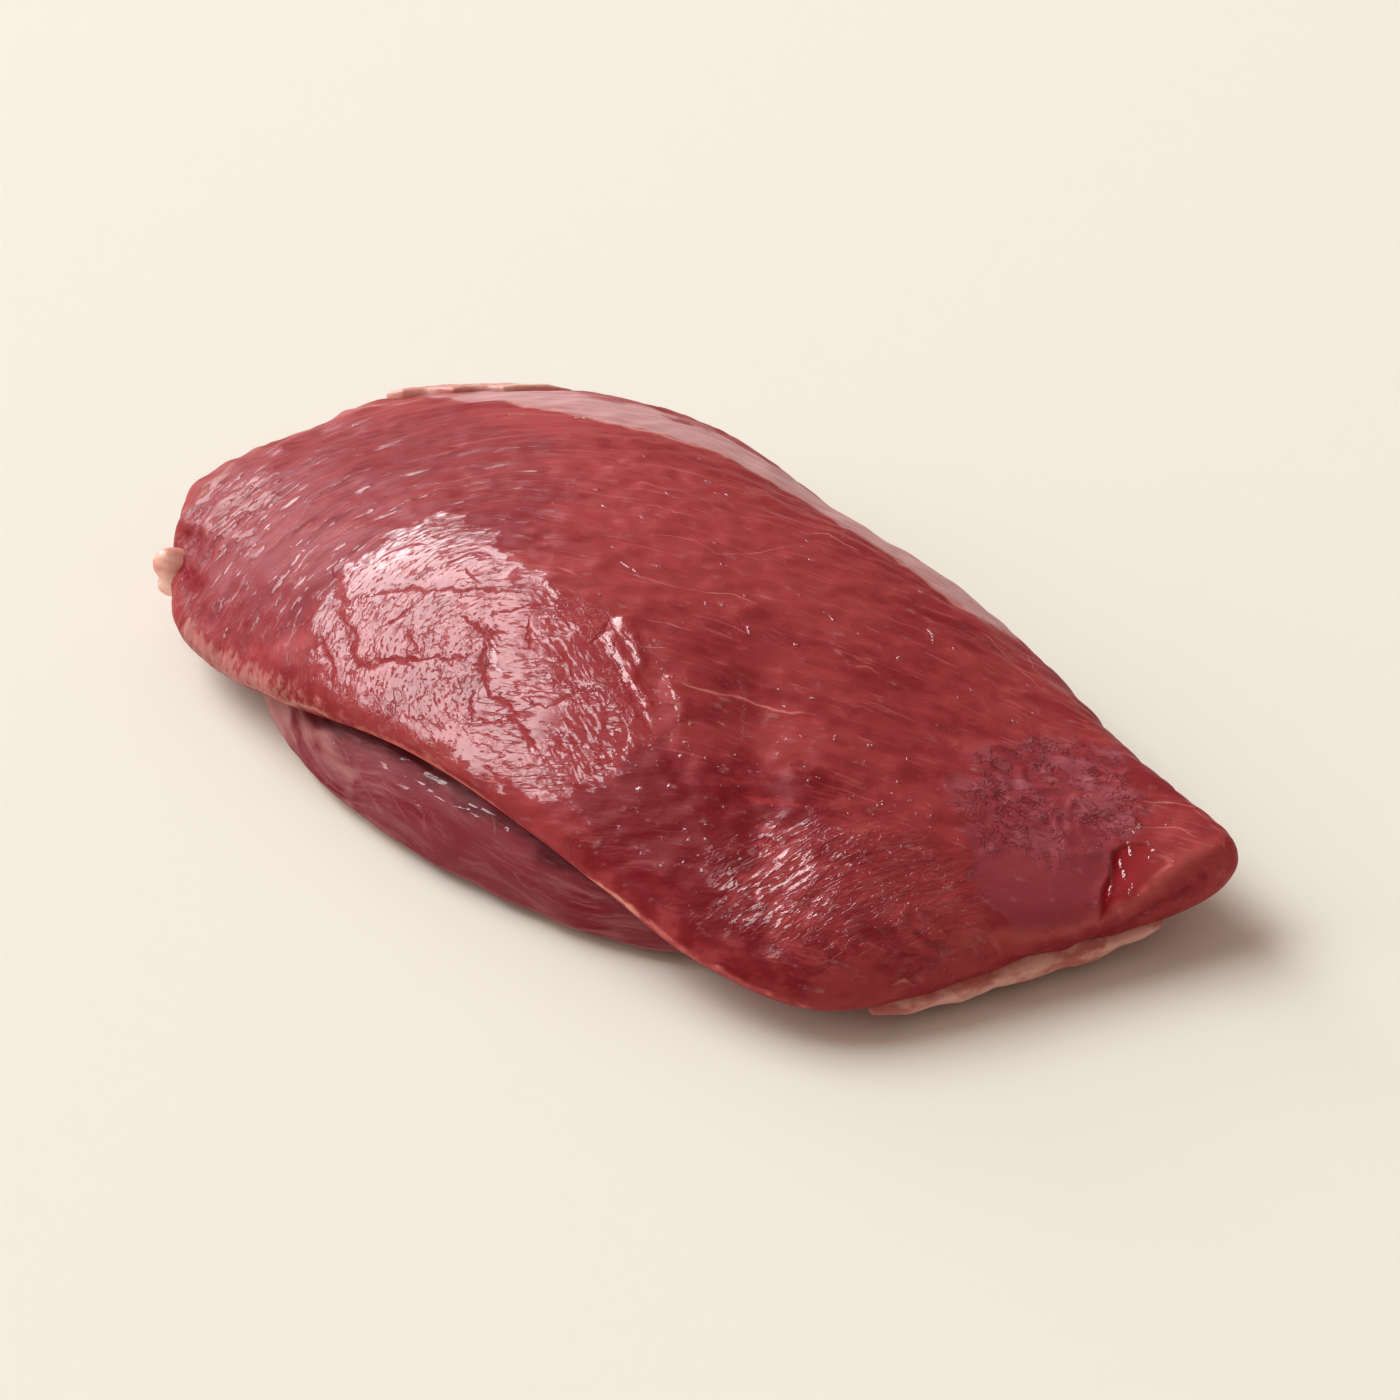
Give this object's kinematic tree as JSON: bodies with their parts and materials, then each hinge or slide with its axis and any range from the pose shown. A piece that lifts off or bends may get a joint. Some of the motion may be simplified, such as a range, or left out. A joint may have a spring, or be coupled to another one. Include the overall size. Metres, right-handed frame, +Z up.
{
  "type": "raw skinless duck breast",
  "caption": "Raw skinless duck breast lying skinned side up, with its inner fillet tucked under the front edge and trimmings of fat on its rim.",
  "frame": {"origin": "middle of the underside's box, at the height of the table", "axes": "+X along the breast towards the thin tail end, +Y towards the back edge, away from the inner fillet, +Z up"},
  "size_m": [0.1684, 0.0938, 0.0327],
  "materials": {
    "red_meat": "moist, glossy in patches",
    "dark_meat": "moist, glossy",
    "tail_fat": "moist, satin",
    "pink_fat": "moist, satin",
    "back_fat": "moist, satin"
  },
  "bodies": {
    "root": {"breast": "red_meat", "inner_fillet": "dark_meat", "tail_fat": "tail_fat", "shoulder_fat": "pink_fat", "back_fat": "back_fat"}
  },
  "joints": []
}
